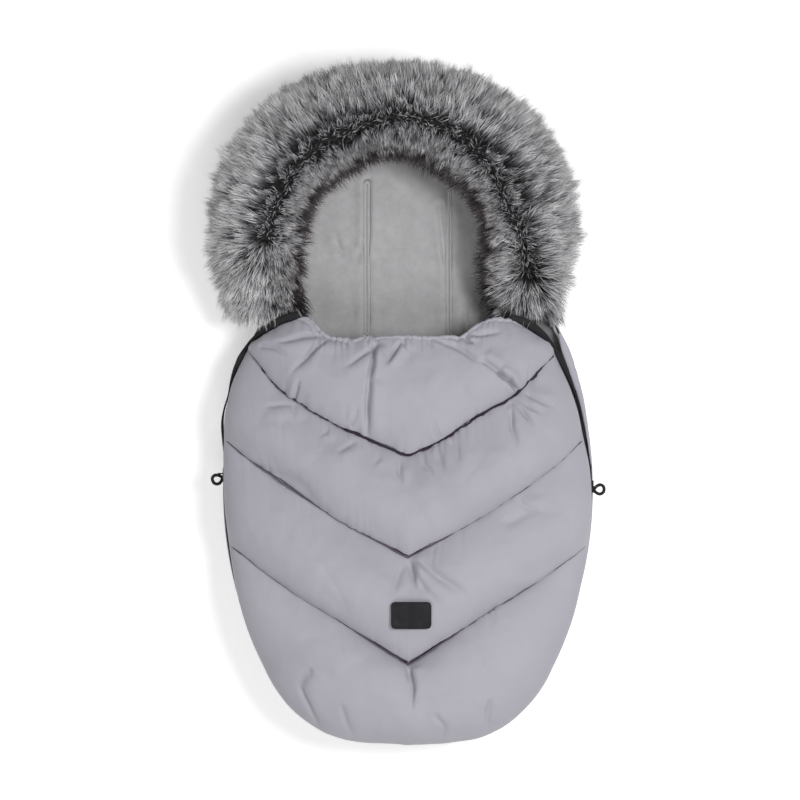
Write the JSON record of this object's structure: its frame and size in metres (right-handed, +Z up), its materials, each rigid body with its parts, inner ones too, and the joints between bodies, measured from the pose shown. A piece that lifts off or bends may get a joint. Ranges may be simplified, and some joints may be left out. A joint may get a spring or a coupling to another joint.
{
  "type": "stroller footmuff",
  "caption": "Padded mummy-shaped footmuff with quilted front, fur-trimmed hood, harness slots and side zips with cord-loop pulls",
  "frame": {"origin": "centre of the bounding box, at the floor that the back lies on", "axes": "+X to the picture's right, +Y towards the head, +Z up off the floor"},
  "size_m": [0.5176, 0.8976, 0.1503],
  "materials": {
    "nylon": "satin woven nylon, lilac grey",
    "plush": "short plush, pale grey",
    "wadding": "polyester wadding, hidden",
    "rubber": "matte moulded silicone",
    "binding": "woven binding tape",
    "backing": "knitted backing of the fur",
    "fur": "long grey fur with dark roots",
    "tape": "woven black zip tape",
    "teeth": "black coil teeth",
    "metal": "black enamelled zinc",
    "cord": "black round cord",
    "elastic": "braided elastic, hidden"
  },
  "bodies": {
    "back": {"antislip_pad_low": "rubber", "antislip_pad_middle": "rubber", "antislip_pad_high": "rubber", "back_shell": "nylon", "back_wadding": "wadding", "back_lining": "plush", "shoulder_slot_binding_left": "binding", "shoulder_slot_binding_right": "binding", "crotch_slot_binding": "binding", "hood_rim_binding": "binding", "fur_backing": "backing", "fur_trim": "fur", "toe_tape_back": "tape", "fur_snap_stud_1": "metal", "fur_snap_stud_2": "metal", "fur_snap_stud_3": "metal", "fur_snap_stud_4": "metal", "fur_snap_stud_5": "metal", "fur_snap_socket_1": "metal", "fur_snap_socket_2": "metal", "fur_snap_socket_3": "metal", "fur_snap_socket_4": "metal", "fur_snap_socket_5": "metal", "zip_tape_back_left": "tape", "zip_teeth_back_left": "teeth", "zip_top_stop_back_left": "metal", "zip_tape_back_right": "tape", "zip_teeth_back_right": "teeth", "zip_top_stop_back_right": "metal"},
    "cover": {"cover_panel_1": "nylon", "cover_panel_2": "nylon", "cover_panel_3": "nylon", "cover_panel_4": "nylon", "cover_wadding": "wadding", "cover_lining": "plush", "cover_hem_casing": "nylon", "cover_hem_elastic": "elastic", "cover_patch": "rubber", "toe_tape_cover": "tape", "zip_tape_cover_left": "tape", "zip_teeth_cover_left": "teeth", "zip_top_stop_cover_left": "metal", "zip_tape_cover_right": "tape", "zip_teeth_cover_right": "teeth", "zip_top_stop_cover_right": "metal"},
    "slider_left": {"zip_slider_left": "metal"},
    "slider_right": {"zip_slider_right": "metal"},
    "pull_left": {"pull_loop_left": "cord"},
    "pull_right": {"pull_loop_right": "cord"}
  },
  "joints": [
    {"name": "cover_fold", "type": "hinge", "parent": "back", "child": "cover", "pos_m": [0, -0.429, 0.066], "axis": [1, 0, 0], "range_deg": [0, 150]},
    {"name": "slider_left_run", "type": "hinge", "parent": "back", "child": "slider_left", "pos_m": [0.27794, -0.11, 0.066], "axis": [0, 0, 1], "range_deg": [-16, 27], "deforming": ["zip_teeth_cover_left"]},
    {"name": "slider_right_run", "type": "hinge", "parent": "back", "child": "slider_right", "pos_m": [-0.27794, -0.11, 0.066], "axis": [0, 0, 1], "range_deg": [-25, 18], "deforming": ["zip_teeth_cover_right"]},
    {"name": "pull_left_swing", "type": "hinge", "parent": "slider_left", "child": "pull_left", "pos_m": [-0.24738, -0.08947, 0.066], "axis": [0, 0, 1], "range_deg": [-140, 0]},
    {"name": "pull_right_swing", "type": "hinge", "parent": "slider_right", "child": "pull_right", "pos_m": [0.24777, -0.10656, 0.066], "axis": [0, 0, 1], "range_deg": [-18, 122]}
  ]
}
